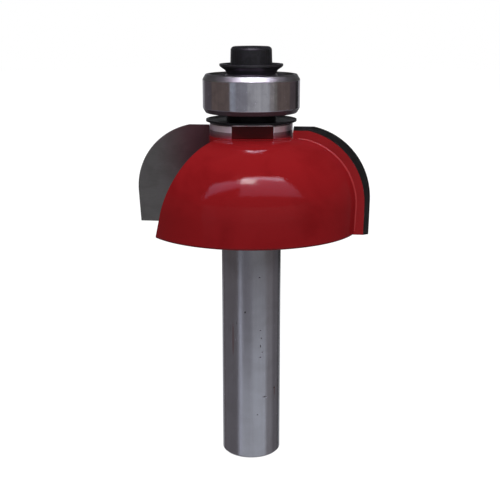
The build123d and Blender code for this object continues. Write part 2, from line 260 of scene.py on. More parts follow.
class RouterBitStudio(bpy.types.PropertyGroup):
    """The camera, the lamps and what the bright metal mirrors."""

    camera_azimuth: angle("Camera Azimuth", "Direction of the camera round the axis", 11.0)
    camera_distance: length("Camera Distance", "Level distance from the axis", 129.39)
    camera_height: length("Camera Height", "Height of the camera", 60.60)
    camera_pitch: angle("Camera Pitch", "How far the camera looks down", 13.80)
    camera_lens: number("Camera Lens", "Focal length on a 36 mm sensor", 70.68)
    camera_shift: number("Camera Shift", "Sideways shift, as a share of the width", -0.0026)
    floor_radius: length("Floor Radius", "Radius of the floor", 900.0)
    room_radius: length("Room Radius", "Radius of the mirrored room", 1200.0)
    card_distance: length("Card Distance", "How far the soft boxes stand in front", 400.0)
    key_power: number("Key Power", "Power of the small lamp above the camera, in watts", 0.75)
    fill_power: number("Fill Power", "Power of the broad lamp in front, in watts", 1.32)
    top_power: number("Top Power", "Power of the lamp overhead, in watts", 0.62)
    back_power: number("Back Power", "Power of the broad lamp behind, in watts", 0.55)
    ambient: number("Ambient", "Strength of the light from all round", 0.54)
    horizon_share: factor("Horizon Share", "How much of the ambient is left at the horizon", 0.50)


class RouterBitSettings(bpy.types.PropertyGroup):
    """Everything that a user would change."""

    sizes: PointerProperty(type=RouterBitSizes)
    finishes: PointerProperty(type=RouterBitFinishes)
    studio: PointerProperty(type=RouterBitStudio)


# ---------------------------------------------------------------- node helpers
def add(tree, kind, inputs=(), **options):
    """A shader node with its options, its inputs given as values or as sockets to link."""
    node = tree.nodes.new(kind)
    for key, value in options.items():
        setattr(node, key, value)
    for key, value in dict(inputs).items():
        if isinstance(value, bpy.types.NodeSocket):
            tree.links.new(value, node.inputs[key])
        else:
            node.inputs[key].default_value = value
    return node


def maths(tree, operation, *values):
    """The result of a Math node on the given values or sockets."""
    return add(tree, "ShaderNodeMath", enumerate(values), operation=operation).outputs[0]


def ramp(tree, value, low, high, bottom=0.0, top=1.0):
    """A smooth step of a value from bottom, at low, to top, at high."""
    node = add(
        tree, "ShaderNodeMapRange",
        {"Value": value, "From Min": low, "From Max": high, "To Min": bottom, "To Max": top},
        interpolation_type="SMOOTHSTEP",
    )
    return node.outputs["Result"]


def above(tree, value, place, fade):
    """Nought below a place, rising to one over the fade, in millimetres, above it."""
    return ramp(tree, value, place, place + fade * MM)


def below(tree, value, place, fade):
    """One below a place, falling to nought over the fade, in millimetres, above it."""
    return ramp(tree, value, place + fade * MM, place)


# The sockets of a Mix node share their names, so its numbers and colours go by index.
def blend(tree, share, first, second):
    """A colour mixed from first to second by share."""
    node = add(
        tree, "ShaderNodeMix", {"Factor": share, 6: rgba(first), 7: rgba(second)},
        data_type="RGBA",
    )
    return node.outputs[2]


def blend_value(tree, share, first, second):
    """A number mixed from first to second by share."""
    return add(tree, "ShaderNodeMix", {"Factor": share, 2: first, 3: second}).outputs[0]


def tint(tree, first, second):
    """A colour multiplied by another."""
    node = add(
        tree, "ShaderNodeMix", {"Factor": 1.0, 6: rgba(first), 7: rgba(second)},
        data_type="RGBA", blend_type="MULTIPLY",
    )
    return node.outputs[2]


def rgba(value):
    """A colour with its alpha, or the socket that was given."""
    if isinstance(value, bpy.types.NodeSocket):
        return value
    return (*value, 1.0)


def group(name, inputs, outputs):
    """The tree of a new node group and its two ends, given its inputs' defaults by name."""
    tree = bpy.data.node_groups.new(name, "ShaderNodeTree")
    for socket, default in inputs.items():
        made = tree.interface.new_socket(socket, in_out="INPUT", socket_type="NodeSocketFloat")
        made.default_value = default
    for socket in outputs:
        tree.interface.new_socket(socket, in_out="OUTPUT", socket_type="NodeSocketFloat")
    start = tree.nodes.new("NodeGroupInput")
    end = tree.nodes.new("NodeGroupOutput")
    return tree, start, end


def use(tree, group_tree, **inputs):
    """A group placed in a tree; an underscore in an input's name stands for a space."""
    node = tree.nodes.new("ShaderNodeGroup")
    node.node_tree = group_tree
    for key, value in inputs.items():
        socket = node.inputs[key.replace("_", " ")]
        if isinstance(value, bpy.types.NodeSocket):
            tree.links.new(value, socket)
        else:
            socket.default_value = value
    return node.outputs


def finish_material(name):
    """A new material with a Principled BSDF, and its tree."""
    material = bpy.data.materials.new(name)
    material.use_nodes = True
    tree = material.node_tree
    return material, tree, tree.nodes["Principled BSDF"]


def connect(tree, shader, **values):
    """Sets or links the shader's inputs; an underscore stands for a space."""
    for key, value in values.items():
        socket = shader.inputs[key.replace("_", " ")]
        if isinstance(value, bpy.types.NodeSocket):
            tree.links.new(value, socket)
        elif socket.type == "RGBA":
            socket.default_value = rgba(value)
        else:
            socket.default_value = value


def bump(tree, height, distance, strength=1.0, under=None):
    """The normal of a Bump node on a height, laid over another normal if there is one."""
    node = add(
        tree, "ShaderNodeBump", {"Height": height, "Distance": distance, "Strength": strength}
    )
    if under is not None:
        tree.links.new(under, node.inputs["Normal"])
    return node.outputs["Normal"]


def noise(tree, scale, detail=2.0, vector=None):
    """The value of a noise on Object coordinates, or on another vector."""
    if vector is None:
        vector = add(tree, "ShaderNodeTexCoord").outputs["Object"]
    node = add(tree, "ShaderNodeTexNoise", {"Vector": vector, "Scale": scale, "Detail": detail})
    return node.outputs["Fac"]


# ---------------------------------------------------------------- shared effects
def turned_coordinates():
    """Group: distance from the Z axis, direction round it and height, from Object coordinates."""
    tree, _, end = group("Turned Coordinates", {}, ("Radius", "Turn", "Height"))
    place = add(tree, "ShaderNodeTexCoord").outputs["Object"]
    axes = add(tree, "ShaderNodeSeparateXYZ", {0: place}).outputs
    across = maths(tree, "MULTIPLY", axes["X"], axes["X"])
    along = maths(tree, "MULTIPLY", axes["Y"], axes["Y"])
    radius = maths(tree, "SQRT", maths(tree, "ADD", across, along))
    tree.links.new(radius, end.inputs["Radius"])
    tree.links.new(maths(tree, "ARCTAN2", axes["Y"], axes["X"]), end.inputs["Turn"])
    tree.links.new(axes["Z"], end.inputs["Height"])
    return tree


def grinding_marks():
    """Group: fine marks left by grinding, as noise squeezed along the Z axis or round it."""
    tree, start, end = group("Grinding Marks", {"Around": 60.0, "Along": 9000.0}, ("Tone",))
    place = add(tree, "ShaderNodeTexCoord").outputs["Object"]
    around, along = start.outputs["Around"], start.outputs["Along"]
    scale = add(tree, "ShaderNodeCombineXYZ", {"X": around, "Y": around, "Z": along}).outputs[0]
    squeezed = add(
        tree, "ShaderNodeVectorMath", {0: place, 1: scale}, operation="MULTIPLY"
    ).outputs[0]
    tree.links.new(noise(tree, 1.0, 3.0, squeezed), end.inputs["Tone"])
    return tree


def smudges():
    """Group: soft clouds of handling marks, finer with a larger scale, wider with more cover."""
    tree, start, end = group("Smudges", {"Scale": 500.0, "Cover": 0.5}, ("Mask",))
    place = add(tree, "ShaderNodeTexCoord").outputs["Object"]
    cloud = add(
        tree, "ShaderNodeTexNoise",
        {"Vector": place, "Scale": start.outputs["Scale"], "Detail": 4.0, "Distortion": 0.6},
    )
    low = maths(tree, "SUBTRACT", 0.85, start.outputs["Cover"])
    high = maths(tree, "ADD", low, 0.3)
    tree.links.new(ramp(tree, cloud.outputs["Fac"], low, high), end.inputs["Mask"])
    return tree


def window():
    """Group: one inside a rectangle of U and V, fading to nought over a soft edge."""
    inputs = dict.fromkeys(("U", "V", "Left", "Right", "Low", "High"), 0.0)
    inputs.update(dict.fromkeys(("Soft Across", "Soft Up"), 1.0))
    tree, start, end = group("Window", inputs, ("Mask",))
    value = start.outputs
    sides = []
    for place, low, high, edge in (
        ("U", "Left", "Right", "Soft Across"), ("V", "Low", "High", "Soft Up"),
    ):
        for inside in (
            maths(tree, "SUBTRACT", value[place], value[low]),
            maths(tree, "SUBTRACT", value[high], value[place]),
        ):
            sides.append(ramp(tree, maths(tree, "DIVIDE", inside, value[edge]), -0.5, 0.5))
    mask = maths(tree, "MULTIPLY", maths(tree, "MULTIPLY", *sides[:2]),
                 maths(tree, "MULTIPLY", *sides[2:]))
    tree.links.new(mask, end.inputs["Mask"])
    return tree


def pit():
    """Group: a small mark on a turned surface, an ellipse round a turn and a height.

    The mask is one where the squares of both distances, each over the ellipse's own half
    size, add up to less than one, and nought where they add up to more than 2.4.
    """
    names = ("Turn", "Height", "Radius", "At Turn", "At Height", "Width", "Tall")
    tree, start, end = group("Pit", dict.fromkeys(names, 0.0), ("Mask",))
    value = start.outputs
    turned = maths(tree, "MULTIPLY", maths(tree, "SUBTRACT", value["Turn"], value["At Turn"]),
                   value["Radius"])
    across = maths(tree, "DIVIDE", turned, value["Width"])
    risen = maths(tree, "SUBTRACT", value["Height"], value["At Height"])
    along = maths(tree, "DIVIDE", risen, value["Tall"])
    squares = maths(tree, "ADD", maths(tree, "MULTIPLY", across, across),
                    maths(tree, "MULTIPLY", along, along))
    tree.links.new(ramp(tree, squares, 2.4, 1.0), end.inputs["Mask"])
    return tree


@functools.cache
def effects():
    """The shared node groups, built once."""
    return types.SimpleNamespace(
        turned=turned_coordinates(), marks=grinding_marks(), smudges=smudges(),
        window=window(), pit=pit(),
    )


# ---------------------------------------------------------------- finishes
def shank_marks(tree, turned, radius, marks):
    """The darkest of the given marks at a place on the shank."""
    darkest = 0.0
    for degrees, at_height, width, tall, depth in marks:
        mask = use(
            tree, effects().pit, Turn=turned["Turn"], Height=turned["Height"], Radius=radius,
            At_Turn=math.radians(degrees) - math.pi / 2, At_Height=at_height * MM,
            Width=width * MM, Tall=tall * MM,
        )["Mask"]
        darkest = maths(tree, "MAXIMUM", darkest, maths(tree, "MULTIPLY", mask, depth))
    return darkest


def enamel_look(tree, finishes):
    """Colour, roughness and height of the glossy red enamel, with fine runs down its slope."""
    pooled = use(tree, effects().smudges, Scale=140.0, Cover=0.4)["Mask"]
    tone = blend(tree, pooled, finishes.enamel, finishes.enamel_deep)
    dust = use(tree, effects().smudges, Scale=900.0, Cover=0.35)["Mask"]
    rough = maths(tree, "MULTIPLY_ADD", dust, 0.05, finishes.enamel_roughness)
    turned = use(tree, effects().turned)
    slope = add(tree, "ShaderNodeCombineXYZ", {
        "X": maths(tree, "MULTIPLY", turned["Turn"], 62.0),
        "Y": maths(tree, "MULTIPLY", turned["Radius"], 350.0),
        "Z": maths(tree, "MULTIPLY", turned["Height"], 350.0),
    }).outputs[0]
    runs = noise(tree, 1.0, 2.0, slope)
    relief = maths(tree, "MULTIPLY_ADD", noise(tree, 420.0, 1.0), 1.6, runs)
    return tone, rough, relief


def neck_steel(tree, sizes, finishes, height):
    """Colour of the neck's lands: bright steel, dulled by paint mist and painted shade, then
    reddened toward the foot by a painted reflection of the dome.
    """
    # Painted shade and painted reflection: the lands darken below this edge and redden toward the
    # foot, together with paint mist.
    mist_and_shade_edge = maths(tree, "MULTIPLY_ADD", noise(tree, 900.0), 0.08 * MM, height)
    misted_and_shaded = below(tree, mist_and_shade_edge, sizes.mist_and_shade_top, 0.09)
    reddened = ramp(tree, height, sizes.mist_and_shade_top, sizes.neck_foot)
    mist_and_painted_shade = blend(tree, reddened, finishes.mist_and_painted_shade, finishes.mist_and_painted_reflection)
    return blend(tree, misted_and_shaded, finishes.land_steel, mist_and_painted_shade)


def body_steel_look(tree, sizes, finishes, shank, edge):
    """Colour, roughness and height of the body's bare steel, with the shank's marks and wear, and
    painted shade under the dome.
    """
    turned = use(tree, effects().turned)
    rings = use(tree, effects().marks, Around=90.0, Along=14000.0)["Tone"]
    streaks = use(tree, effects().marks, Around=2600.0, Along=60.0)["Tone"]
    film = use(tree, effects().smudges, Scale=260.0, Cover=0.45)["Mask"]
    pits = shank_marks(tree, turned, sizes.shank_radius, SHANK_MARKS)
    stains = shank_marks(tree, turned, sizes.shank_radius, RUST_STREAKS)

    steel = blend(tree, shank, neck_steel(tree, sizes, finishes, turned["Height"]),
                  finishes.shank_steel)
    fine = maths(tree, "MULTIPLY_ADD", rings, 0.20, maths(tree, "MULTIPLY", streaks, 0.45))
    wear = maths(tree, "MULTIPLY_ADD", film, 0.30, fine)
    toned = tint(tree, steel, blend(tree, wear, (1.12, 1.12, 1.12), (0.84, 0.82, 0.80)))
    # Painted shade: the shank's top is darkened under the dome, in the same colour as the dirt in
    # the pits.
    shade = ramp(tree, edge, sizes.shade_bottom, sizes.shade_top, 0.0, finishes.shank_shade)
    dirt_and_shade_mask = maths(tree, "MAXIMUM", pits, maths(tree, "MULTIPLY", shade, shank))
    tone = blend(tree, stains, blend(tree, dirt_and_shade_mask, toned, finishes.dirt_and_shade), finishes.rust)

    ground = blend_value(tree, shank, finishes.land_roughness, finishes.shank_roughness)
    ground = maths(tree, "MULTIPLY_ADD", rings, 0.04, ground)
    rough = maths(tree, "MAXIMUM", ground, maths(tree, "MULTIPLY", pits, 0.6))
    relief = maths(tree, "MULTIPLY_ADD", rings, 0.02, maths(tree, "SUBTRACT", 1.0, pits))
    return tone, rough, relief


def body_material(sizes, finishes):
    """Enamel on the dome, bare ground steel on the shank, the neck's lands and the post."""
    material, tree, shader = finish_material("enamelled_steel")
    turned = use(tree, effects().turned)
    height, radius = turned["Height"], turned["Radius"]
    edge = maths(tree, "MULTIPLY_ADD", noise(tree, 1200.0), 0.25 * MM, height)
    shank = below(tree, edge, sizes.bare_below, 0.10)
    neck = maths(tree, "MULTIPLY", above(tree, height, sizes.neck_foot, 0.03),
                 below(tree, radius, sizes.neck_reach, 0.40))
    land = maths(tree, "MULTIPLY", neck, above(tree, radius, sizes.neck_radius, 0.02))
    post = above(tree, height, sizes.neck_top, 0.05)
    bare = maths(tree, "MAXIMUM", shank, maths(tree, "MAXIMUM", land, post))

    paint, paint_rough, paint_relief = enamel_look(tree, finishes)
    # Painted shade: the neck's flats take the darkened enamel, for the shade under the washer and
    # bearing.
    paint = blend(tree, neck, paint, finishes.enamel_neck_painted_shade)
    steel, steel_rough, steel_relief = body_steel_look(tree, sizes, finishes, shank, edge)
    normal = bump(tree, maths(tree, "MULTIPLY", steel_relief, bare), 0.03 * MM, 0.6,
                  bump(tree, paint_relief, 0.006 * MM))
    connect(
        tree, shader, Base_Color=blend(tree, bare, paint, steel), Metallic=bare,
        Roughness=blend_value(tree, bare, paint_rough, steel_rough),
        Specular_IOR_Level=finishes.enamel_shine, Normal=normal,
    )
    return material


def face_axes(sizes):
    """Origin and backward normal of the first tip's face.

    The level normal is the -Y direction turned by the hook, and the shear lifts it from
    level. At the reference height the face meets the cutting circle on the X axis.
    """
    hook, shear = sizes.hook, sizes.shear
    level = np.array((math.sin(hook), -math.cos(hook), 0.0))
    offset = sizes.cutting_diameter / 2 * math.sin(hook)
    origin = np.array((0.0, 0.0, sizes.tip_reference)) + level * offset
    backward = level * math.cos(shear) + np.array((0.0, 0.0, math.sin(shear)))
    return origin, backward


def tip_material(name, side, sizes, finishes):
    """Ground carbide whose back is painted with the body; side is 1, or -1 for the second tip."""
    material, tree, shader = finish_material(name)
    origin, backward = face_axes(sizes)
    turn = np.array((side, side, 1.0))
    place = add(tree, "ShaderNodeTexCoord").outputs["Object"]
    offset = add(tree, "ShaderNodeVectorMath", {0: place, 1: origin * turn}, operation="SUBTRACT")
    depth = add(
        tree, "ShaderNodeVectorMath", {0: offset.outputs[0], 1: backward * turn},
        operation="DOT_PRODUCT",
    ).outputs["Value"]
    back = above(tree, depth, sizes.tip_thickness - 0.05 * MM, 0.03)
    front = below(tree, depth, 0.01 * MM, 0.02)
    paint, paint_rough, relief = enamel_look(tree, finishes)
    lines = use(tree, effects().marks, Around=900.0, Along=9000.0)["Tone"]
    cloud = use(tree, effects().smudges, Scale=420.0, Cover=0.5)["Mask"]
    turned = use(tree, effects().turned)
    # Painted reflection: the face is tinted red toward the neck for the red dome's reflection,
    # and lightened away from it.
    inward = ramp(tree, turned["Radius"], sizes.reflection_outer, sizes.reflection_inner)
    upward = ramp(tree, turned["Height"], sizes.reflection_low, sizes.reflection_high, 0.35, 1.0)
    reflected_red = maths(tree, "MULTIPLY", inward, upward)
    reflection_tint = blend(tree, reflected_red, (1.16, 1.12, 1.08), finishes.red_painted_reflection)
    # Painted shade: every surface but the face takes the darker carbide.
    ground = blend(tree, front, finishes.carbide_painted_shade, tint(tree, finishes.carbide, reflection_tint))
    shade = maths(tree, "MULTIPLY_ADD", lines, 0.5, maths(tree, "MULTIPLY", cloud, 0.4))
    toned = tint(tree, ground, blend(tree, shade, (1.12, 1.12, 1.12), (0.82, 0.80, 0.80)))
    bare = maths(tree, "SUBTRACT", 1.0, back)
    carbide_rough = maths(tree, "MULTIPLY_ADD", lines, 0.12, finishes.carbide_roughness)
    heights = blend_value(tree, back, maths(tree, "MULTIPLY", lines, 1.5), relief)
    connect(
        tree, shader, Base_Color=blend(tree, back, toned, paint),
        Metallic=maths(tree, "MULTIPLY", bare, 0.9),
        Roughness=blend_value(tree, back, carbide_rough, paint_rough),
        Specular_IOR_Level=finishes.enamel_shine, Normal=bump(tree, heights, 0.004 * MM),
    )
    return material


def bead_material(finishes):
    """Enamel lightened as a painted highlight, for the bead of paint behind a tip."""
    material, tree, shader = finish_material("enamel_bead")
    tone, rough, relief = enamel_look(tree, finishes)
    # Painted highlight: the bead's colour is mostly the lighter enamel.
    connect(
        tree, shader, Base_Color=blend(tree, 0.8, tone, finishes.enamel_bead), Roughness=rough,
        Specular_IOR_Level=finishes.bead_shine, Normal=bump(tree, relief, 0.002 * MM),
    )
    return material


def bearing_steel_look(tree, finishes, roughness):
    """Colour, roughness and height of bearing steel: upright streaks and handling marks."""
    streaks = use(tree, effects().marks, Around=2300.0, Along=110.0)["Tone"]
    cloud = use(tree, effects().smudges, Scale=620.0, Cover=0.5)["Mask"]
    soft = maths(tree, "MULTIPLY_ADD", cloud, 0.30, maths(tree, "MULTIPLY", streaks, 0.8))
    tone = tint(tree, finishes.ring_steel,
                blend(tree, soft, (1.22, 1.22, 1.22), (0.72, 0.71, 0.74)))
    return tone, maths(tree, "MULTIPLY_ADD", cloud, 0.06, roughness), streaks


def bearing_material(finishes, name, roughness):
    """Bearing steel alone, as on the inner ring, the cage and the balls."""
    material, tree, shader = finish_material(name)
    tone, rough, relief = bearing_steel_look(tree, finishes, roughness)
    connect(
        tree, shader, Base_Color=tone, Metallic=1.0, Roughness=rough,
        Normal=bump(tree, relief, 0.002 * MM),
    )
    return material


def outer_ring_material(sizes, finishes):
    """Ground bearing steel whose bevels are matt; painted shade darkens the upper bevel a little
    and the lower one much more.
    """
    material, tree, shader = finish_material("ground_ring")
    tone, rough, relief = bearing_steel_look(tree, finishes, finishes.ring_roughness)
    height = use(tree, effects().turned)["Height"]
    fade = 0.08
    low = below(tree, height, sizes.ring_bottom + sizes.ring_bevel - fade * MM, fade)
    high = above(tree, height, sizes.ring_top - sizes.ring_bevel - 1.5 * fade * MM, fade)
    # Painted shade: the upper bevel's steel is darker and tinted, to dim its highlight.
    bevelled = blend(tree, high, tone, finishes.bevel_steel_painted_shade)
    on_bevel = maths(tree, "MAXIMUM", low, high)
    # Painted shade: the lower bevel takes a dark colour and loses most of its metal.
    connect(
        tree, shader, Base_Color=blend(tree, low, bevelled, finishes.lower_bevel_painted_shade),
        Metallic=maths(tree, "MULTIPLY_ADD", low, -0.8, 1.0),
        Roughness=blend_value(tree, on_bevel, rough, finishes.bevel_roughness),
        Normal=bump(tree, relief, 0.002 * MM),
    )
    return material


def black_material(name, black, shine, roughness, knurl):
    """Black oxide on steel, a little worn; knurl is the depth of fine ridges round the head."""
    material, tree, shader = finish_material(name)
    turned = use(tree, effects().turned)
    worn = use(tree, effects().smudges, Scale=1100.0, Cover=0.45)["Mask"]
    tone = tint(tree, black, blend(tree, worn, (1.0, 1.0, 1.0), (1.7, 1.7, 1.7)))
    grain = noise(tree, 9000.0, 3.0)
    ridges = maths(tree, "SINE", maths(tree, "MULTIPLY", turned["Turn"], 44.0))
    height = maths(tree, "MULTIPLY_ADD", ridges, knurl, maths(tree, "MULTIPLY", grain, 0.5))
    connect(
        tree, shader, Base_Color=tone, Specular_IOR_Level=shine,
        Roughness=maths(tree, "MULTIPLY_ADD", worn, 0.10, roughness),
        Normal=bump(tree, height, 0.02 * MM, 0.5),
    )
    return material


def rubber_material(finishes):
    """Black moulded rubber with a fine matt grain."""
    material, tree, shader = finish_material("seal_rubber_black")
    grain = noise(tree, 7000.0, 3.0)
    dust = use(tree, effects().smudges, Scale=1500.0, Cover=0.35)["Mask"]
    connect(
        tree, shader, Base_Color=blend(tree, dust, finishes.rubber, finishes.dust),
        Roughness=maths(tree, "MULTIPLY_ADD", grain, 0.15, 0.50),
        Normal=bump(tree, grain, 0.02 * MM, 0.3),
    )
    return material


def assign(material, *nodes):
    """Gives CAD nodes a material in place of the one they came with."""
    for name in nodes:
        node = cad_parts[name]
        if not node.material_slots:
            node.data.materials.append(material)
        node.material_slots[0].material = material


# ---------------------------------------------------------------- new pieces
def grid_object(name, points, closed=False):
    """An object whose faces join a grid of points, each row also end to start if closed."""
    rows, columns = points.shape[:2]
    here = np.arange(rows * columns).reshape(rows, columns)
    beside = np.roll(here, -1, axis=1)
    if not closed:
        here, beside = here[:, :-1], beside[:, :-1]
    quads = np.stack([here[:-1], here[1:], beside[1:], beside[:-1]], axis=-1)
    mesh = bpy.data.meshes.new(name)
    mesh.from_pydata(points.reshape(-1, 3).tolist(), [], quads.reshape(-1, 4).tolist())
    made = bpy.data.objects.new(name, mesh)
    bpy.context.scene.collection.objects.link(made)
    return made


def surface(name, points):
    """A smooth object over a grid of closed rows, with points that meet merged into one."""
    made = grid_object(name, points, closed=True)
    shape = bmesh.new()
    shape.from_mesh(made.data)
    bmesh.ops.remove_doubles(shape, verts=shape.verts, dist=0.0005 * MM)
    bmesh.ops.recalc_face_normals(shape, faces=shape.faces)
    shape.to_mesh(made.data)
    shape.free()
    made.data.polygons.foreach_set("use_smooth", np.ones(len(made.data.polygons), bool))
    return made


def bead_points(sizes, side, steps=140, corners=10):
    """Grid of the paint bead where a tip's back stands on the dome.

    The path is the line where the dome meets the plane of the tip's back: for each height
    on the dome's outline, the direction round the axis is the plane's own direction plus
    the arc cosine of the plane's distance over the outline's radius. The section is a
    hollow quarter circle between the two surfaces, closed by a point sunk below both. Its
    radius follows the fourth root of a sine, and so falls to nothing at both ends.
    """
    origin, backward = face_axes(sizes)
    origin = origin + backward * sizes.tip_thickness
    straight = sizes.shoulder_height - sizes.bead_bottom
    arc = sizes.shoulder_radius * sizes.bead_end
    travel = np.linspace(0.0, straight + arc, steps)
    rise = np.clip((travel - straight) / sizes.shoulder_radius, 0.0, None)
    centre = sizes.dome_radius - sizes.shoulder_radius
    radius = centre + sizes.shoulder_radius * np.cos(rise)
    height = np.where(
        travel < straight, sizes.bead_bottom + travel,
        sizes.shoulder_height + sizes.shoulder_radius * np.sin(rise),
    )
    level = math.hypot(backward[0], backward[1])
    distance = (backward @ origin - backward[2] * height) / level
    turn = math.atan2(backward[1], backward[0]) + np.arccos(distance / radius)
    path = np.stack([radius * np.cos(turn), radius * np.sin(turn), height], axis=1)
    outward = np.stack(
        [np.cos(rise) * np.cos(turn), np.cos(rise) * np.sin(turn), np.sin(rise)], axis=1
    )
    up_back = outward - (outward @ backward)[:, None] * backward
    up_back /= np.linalg.norm(up_back, axis=1, keepdims=True)
    along_dome = backward - (outward @ backward)[:, None] * outward
    along_dome /= np.linalg.norm(along_dome, axis=1, keepdims=True)
    taper = np.clip(np.sin(np.linspace(0.0, np.pi, steps)), 0.0, 1.0) ** 0.25
    swing = np.linspace(0.0, np.pi / 2, corners)
    sunk = -0.15
    up = np.append(1.0 - np.sin(swing), sunk)
    along = np.append(1.0 - np.cos(swing), sunk)
    size = (sizes.bead_radius * taper)[:, None, None]
    points = path[:, None] + size * (
        up[None, :, None] * up_back[:, None] + along[None, :, None] * along_dome[:, None]
    )
    return points * np.array((side, side, 1.0))


# ---------------------------------------------------------------- studio
def set_uv(made, values):
    """Writes one UV pair per vertex to the object's own UV map."""
    mesh = made.data
    layer = mesh.uv_layers.new(name="UVMap")
    corners = np.empty(len(mesh.loops), np.int32)
    mesh.loops.foreach_get("vertex_index", corners)
    layer.uv.foreach_set("vector", values[corners].astype(np.float32).ravel())


def seen(tree):
    """One for what the camera, mirrors and glass see, nought for light on other surfaces."""
    path = add(tree, "ShaderNodeLightPath").outputs
    mirrored = maths(tree, "MAXIMUM", path["Is Camera Ray"], path["Is Glossy Ray"])
    return maths(tree, "MAXIMUM", mirrored, path["Is Transmission Ray"])


def floor_points(radius):
    """Grid of a flat disc: rings at nought, a quarter and all of the radius."""
    turn, reach = np.meshgrid(
        np.linspace(-np.pi, np.pi, 97)[:-1], np.array((0.0, 0.25, 1.0)) * radius
    )
    return np.stack([reach * np.cos(turn), reach * np.sin(turn), np.zeros(turn.shape)], axis=-1)


def floor_material():
    """A pale floor that shows white, and keeps a faint shadow of the bit."""
    material, tree, shader = finish_material("studio_floor")
    tone = blend(tree, noise(tree, 60.0), *FLOOR_TONES)
    connect(tree, shader, Base_Color=tone, Roughness=0.9, Specular_IOR_Level=0.0)
    strength = maths(tree, "MULTIPLY", seen(tree), FLOOR_GLOW)
    glow = add(tree, "ShaderNodeEmission", {"Strength": strength})
    both = add(tree, "ShaderNodeAddShader", {0: shader.outputs[0], 1: glow.outputs[0]})
    tree.links.new(both.outputs[0], tree.nodes["Material Output"].inputs["Surface"])
    return material


def glow_material(name):
    """A new material that is to glow without lighting anything, its tree, and its U and V."""
    material = bpy.data.materials.new(name)
    material.use_nodes = True
    material.cycles.emission_sampling = "NONE"
    tree = material.node_tree
    tree.nodes.remove(tree.nodes["Principled BSDF"])
    flat = add(tree, "ShaderNodeUVMap", uv_map="UVMap").outputs[0]
    axes = add(tree, "ShaderNodeSeparateXYZ", {0: flat}).outputs
    return material, tree, axes["X"], axes["Y"]


def room_material():
    """What the metal and enamel mirror: a dim room with bright walls, by direction.

    U is the direction from the camera's side and V the height above the horizon, as
    shares of 360 and 180 degrees.
    """
    material, tree, across, up = glow_material("mirrored_room")
    around = maths(tree, "MULTIPLY_ADD", across, 360.0, -180.0)
    lift = maths(tree, "MULTIPLY_ADD", up, 180.0, -90.0)
    light = ROOM
    for left, right, low, high, soft_across, soft_up, panel in ROOM_PANELS:
        mask = use(
            tree, effects().window, U=around, V=lift, Left=left, Right=right, Low=low,
            High=high, Soft_Across=soft_across, Soft_Up=soft_up,
        )["Mask"]
        light = blend(tree, mask, light, panel)
    glow = add(tree, "ShaderNodeEmission", {"Color": light})
    tree.links.new(glow.outputs[0], tree.nodes["Material Output"].inputs["Surface"])
    return material


def card_material(name, low, high, soft):
    """A soft box's glow, from its low colour to its high one, fading out at its edges."""
    material, tree, across, up = glow_material(name)
    share = use(
        tree, effects().window, U=across, V=up, Left=0.0, Right=1.0, Low=0.0, High=1.0,
        Soft_Across=soft[0], Soft_Up=soft[1],
    )["Mask"]
    glow = add(tree, "ShaderNodeEmission", {"Color": blend(tree, up, low, high)})
    clear = add(tree, "ShaderNodeBsdfTransparent")
    mixed = add(tree, "ShaderNodeMixShader", {0: share, 1: clear.outputs[0], 2: glow.outputs[0]})
    tree.links.new(mixed.outputs[0], tree.nodes["Material Output"].inputs["Surface"])
    return material


def direction(azimuth, elevation):
    """Unit vector toward a direction round the axis and above the horizon."""
    return np.array((
        math.sin(azimuth) * math.cos(elevation),
        -math.cos(azimuth) * math.cos(elevation),
        math.sin(elevation),
    ))


def card_object(name, corners, distance, azimuth):
    """A flat four-cornered card in front of the bit, facing it.

    A point is the mix of the four corners by its two shares. A corner is given by how far
    it lies to the right and up from level with the dome, both as shares of the distance.
    """
    share = np.linspace(0.0, 1.0, 13)
    across, up = np.meshgrid(share, share)
    left, low = 1 - across, 1 - up
    weights = np.stack([left * low, across * low, across * up, left * up])
    flat = np.tensordot(weights, np.array(corners), axes=(0, 0)) * distance
    right = np.array((math.cos(azimuth), math.sin(azimuth), 0.0))
    points = direction(azimuth, 0.0) * distance + flat[..., :1] * right
    points[..., 2] += CARD_LEVEL + flat[..., 1]
    made = grid_object(name, points)
    set_uv(made, np.stack([across, up], axis=-1).reshape(-1, 2))
    return made


def room_object(name, radius, azimuth, around=96, above_below=48):
    """A sphere whose UV map holds direction from the camera's side and height angle.

    A point is radius times the sine and minus cosine of its direction, both times the
    cosine of its height angle, and the sine of that angle.
    """
    turn, lift = np.meshgrid(
        np.linspace(-np.pi, np.pi, around + 1),
        np.linspace(-np.pi / 2, np.pi / 2, above_below + 1),
    )
    points = radius * np.stack([
        np.sin(turn + azimuth) * np.cos(lift), -np.cos(turn + azimuth) * np.cos(lift),
        np.sin(lift),
    ], axis=-1)
    made = grid_object(name, points)
    share = np.stack([turn / (2 * np.pi) + 0.5, lift / np.pi + 0.5], axis=-1)
    set_uv(made, share.reshape(-1, 2))
    return made


def only_mirrored(made):
    """Hides a stage object from everything but glossy rays."""
    made.visible_camera = False
    made.visible_diffuse = False
    made.visible_transmission = False
    made.visible_volume_scatter = False
    made.visible_shadow = False


def add_lamp(name, azimuth, elevation, distance, size, power, mirrored):
    """A rectangular lamp aimed at the middle of the bit."""
    data = bpy.data.lights.new(name, "AREA")
    data.shape = "RECTANGLE"
    data.size, data.size_y = size
    data.energy = power
    lamp = bpy.data.objects.new(name, data)
    bpy.context.scene.collection.objects.link(lamp)
    middle = np.array((CAD_BOX[0] + CAD_BOX[1]) / 2)
    lamp.location = middle + direction(azimuth, elevation) * distance
    lamp.rotation_euler = (math.pi / 2 - elevation, 0.0, azimuth)
    lamp.visible_glossy = mirrored


